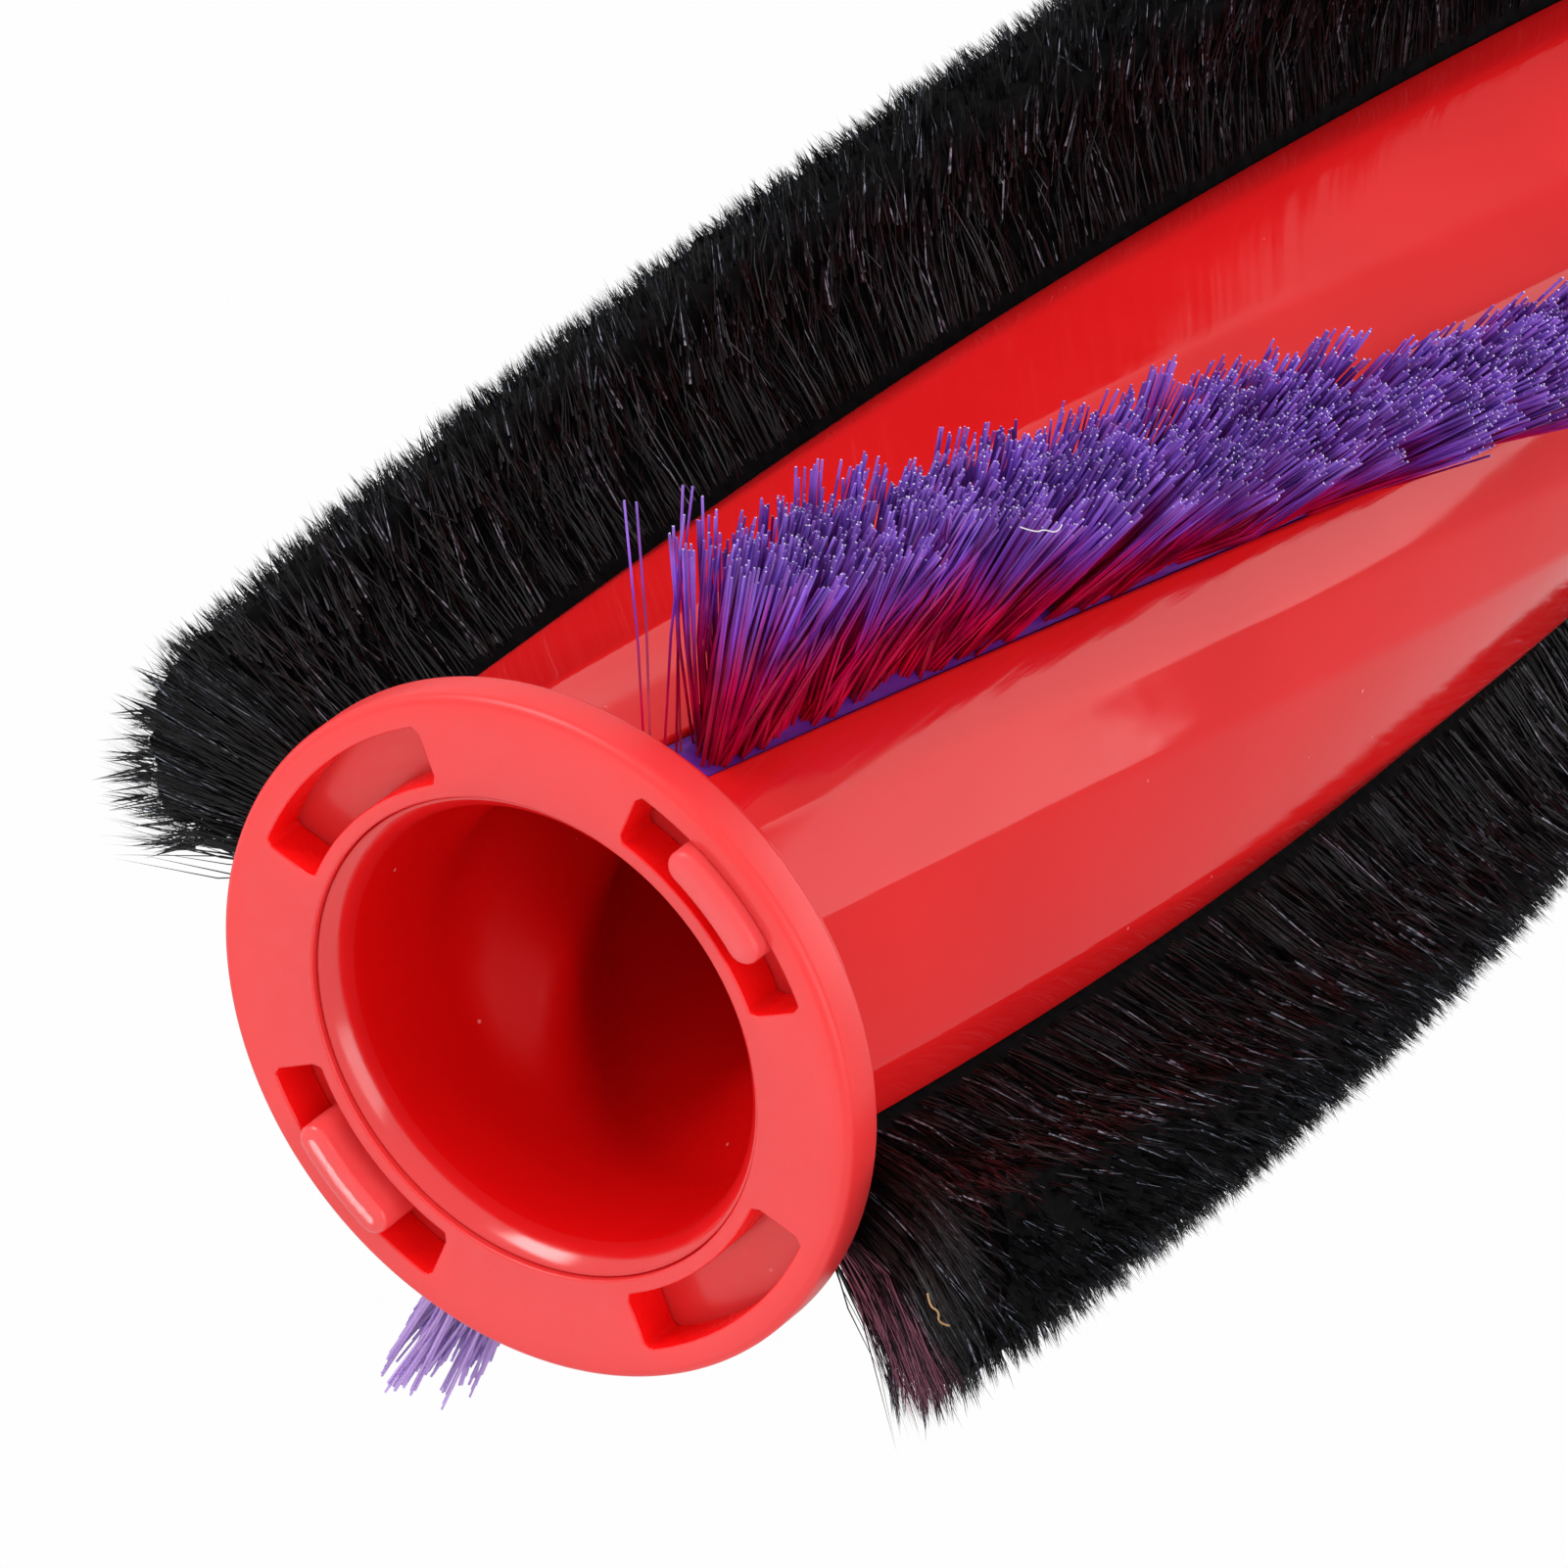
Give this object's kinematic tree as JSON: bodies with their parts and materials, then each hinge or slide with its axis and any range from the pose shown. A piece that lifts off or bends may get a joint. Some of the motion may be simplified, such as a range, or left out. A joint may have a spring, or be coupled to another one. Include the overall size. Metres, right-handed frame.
{
  "type": "vacuum roller brush",
  "caption": "Vacuum roller brush: hollow red tube with helical rows of stiff purple bristles and soft black pile, a windowed end ring and a ball bearing in the far cap.",
  "frame": {"origin": "centre of the flat rest face of the end cap", "axes": "+Z along the roller's axis from the cap to the open end, +X towards the middle of one window of the end ring"},
  "size_m": [0.0508, 0.0508, 0.2257],
  "materials": {
    "red_plastic": "glossy moulded",
    "coral_plastic": "satin moulded",
    "strip_backing": "matte",
    "pile_backing": "matte",
    "nylon_bristle": "satin filaments",
    "soft_pile": "soft dense pile",
    "black_rubber": "matte",
    "bearing_steel": "ground",
    "ball_steel": "polished",
    "cage_plastic": "matte",
    "felt": "pressed felt",
    "bush_plastic": "satin"
  },
  "bodies": {
    "roller": {"core_tube": "red_plastic", "end_ring": "coral_plastic", "end_cap": "coral_plastic", "nylon_strip_a": "strip_backing", "nylon_strip_b": "strip_backing", "pile_strip_a": "pile_backing", "pile_strip_b": "pile_backing", "nylon_bristles_a": "nylon_bristle", "nylon_bristles_b": "nylon_bristle", "pile_bristles_a": "soft_pile", "pile_bristles_b": "soft_pile", "bearing_sleeve": "black_rubber", "bearing_outer_ring": "bearing_steel", "bearing_shield_inner": "bearing_steel", "bearing_shield_outer": "bearing_steel", "felt_washer": "felt"},
    "spindle": {"bearing_inner_ring": "bearing_steel", "axle_bush": "bush_plastic"},
    "ball_set": {"bearing_balls": "ball_steel", "bearing_cage": "cage_plastic"}
  },
  "joints": [
    {"name": "bearing_spin", "type": "hinge", "parent": "roller", "child": "spindle", "pos_m": [0, 0, 0.0036], "axis": [0, 0, 1], "continuous": true},
    {"name": "cage_spin", "type": "hinge", "parent": "roller", "child": "ball_set", "pos_m": [0, 0, 0.0036], "axis": [0, 0, 1], "continuous": true}
  ],
  "couplings": [
    {"joint": "cage_spin", "follows": "bearing_spin", "ratio": 0.3947}
  ]
}
